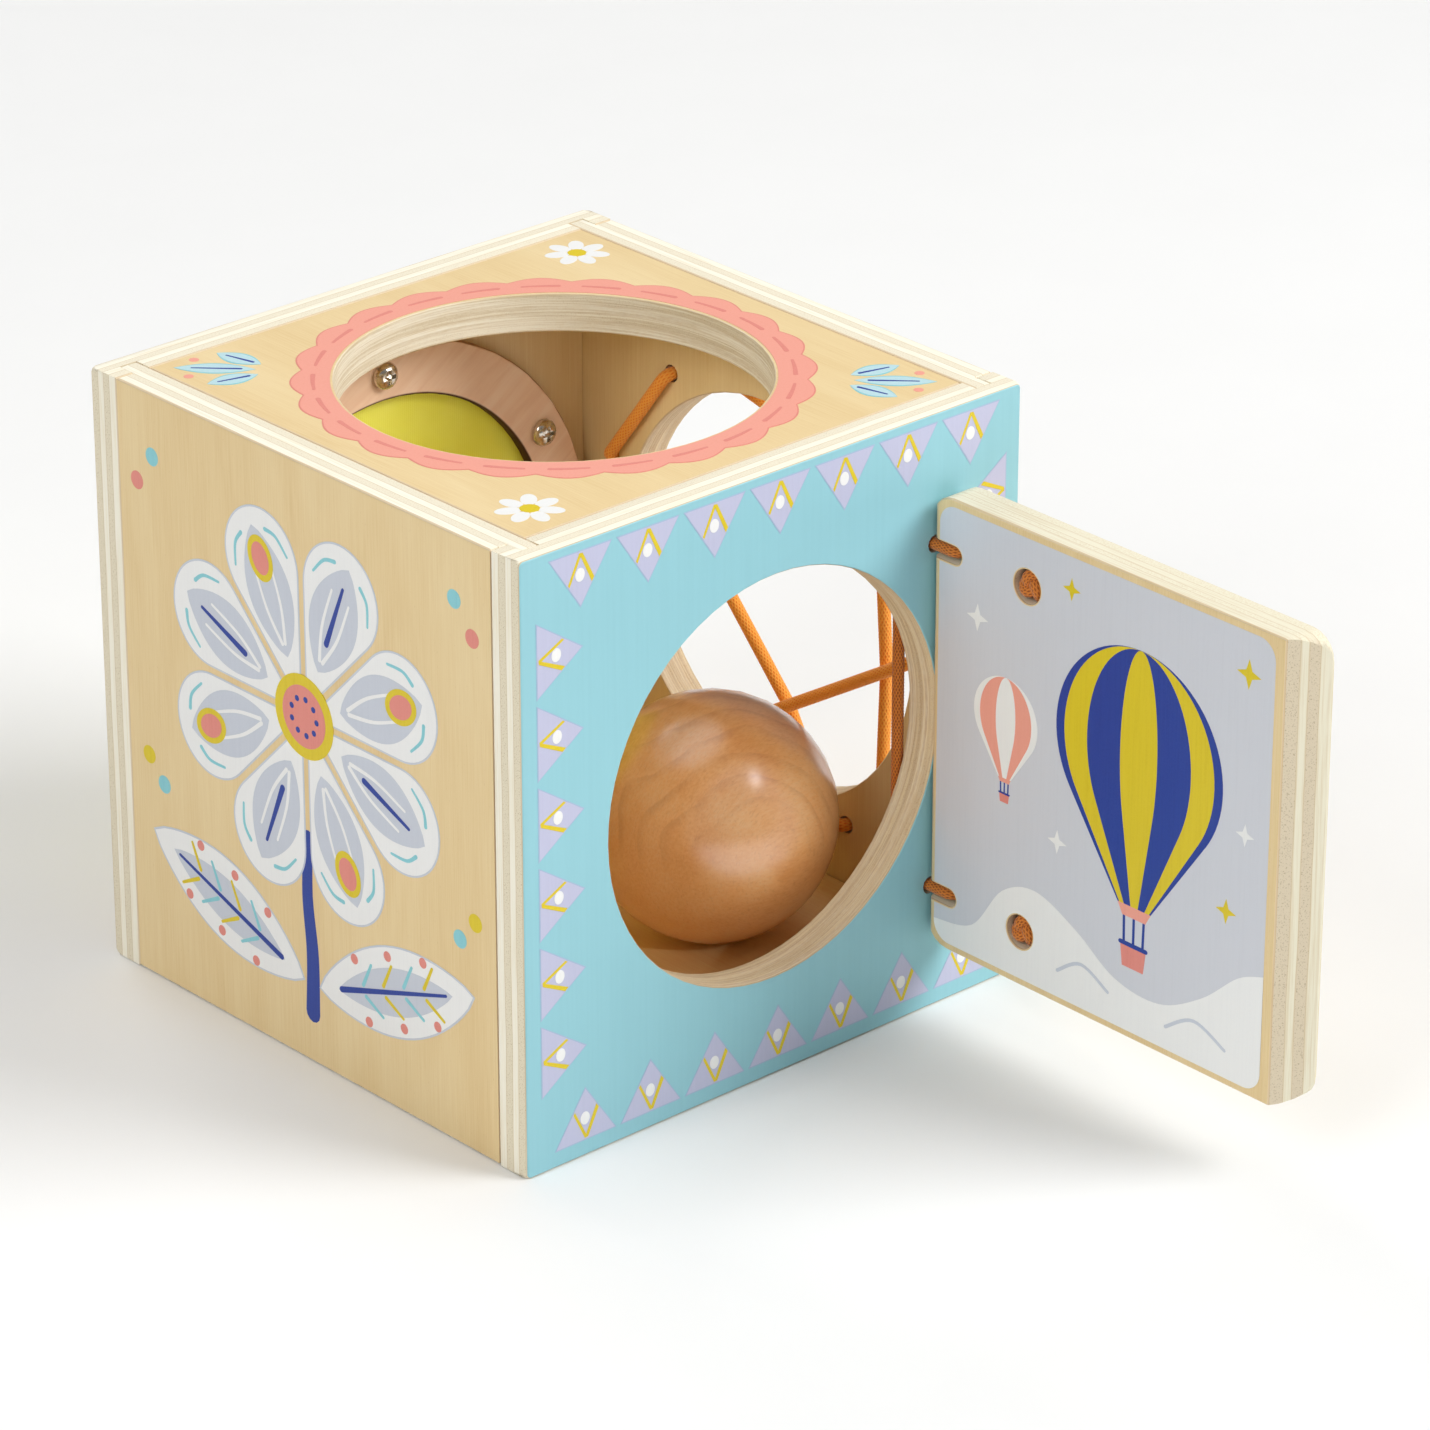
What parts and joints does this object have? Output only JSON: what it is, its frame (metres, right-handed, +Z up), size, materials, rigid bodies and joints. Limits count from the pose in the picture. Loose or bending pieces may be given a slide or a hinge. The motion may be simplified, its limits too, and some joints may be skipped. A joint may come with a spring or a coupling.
{
  "type": "activity cube",
  "caption": "Wooden activity cube with round openings, a plywood flap door on an elastic hinge, an elastic web, a fabric window and a loose wooden ball.",
  "frame": {"origin": "centre of the cube's underside, on the surface that it stands on", "axes": "+Z up, +X along the front panel towards the laced side panel, -Y out of the front, where the door is"},
  "size_m": [0.1466, 0.2475, 0.14],
  "materials": {
    "birch_ply": "satin",
    "blue_ply": "satin",
    "ring_ply": "matte",
    "ball_wood": "gloss",
    "orange_elastic": "matte",
    "yellow_fabric": "matte",
    "screw_nickel": "satin"
  },
  "bodies": {
    "cube": {"front_panel": "blue_ply", "back_panel": "birch_ply", "left_panel": "birch_ply", "right_panel": "birch_ply", "top_panel": "birch_ply", "bottom_panel": "birch_ply", "hinge_cord": "orange_elastic", "web_cord": "orange_elastic", "fabric_membrane": "yellow_fabric", "clamp_ring": "ring_ply", "ring_screw_1": "screw_nickel", "ring_screw_2": "screw_nickel", "ring_screw_3": "screw_nickel", "ring_screw_4": "screw_nickel", "ring_screw_5": "screw_nickel", "ring_screw_6": "screw_nickel"},
    "door": {"door": "birch_ply"},
    "ball": {"ball": "ball_wood"}
  },
  "joints": [
    {"name": "door_hinge", "type": "hinge", "parent": "cube", "child": "door", "pos_m": [0.0469, -0.0735, 0.07], "axis": [0, 0, 1], "range_deg": [-90, 0], "deforming": ["hinge_cord"]},
    {"name": "ball_lift", "type": "slide", "parent": "cube", "child": "ball", "axis": [-0.1831, 0.2007, 0.9624], "range_m": [0, 0.14]}
  ]
}
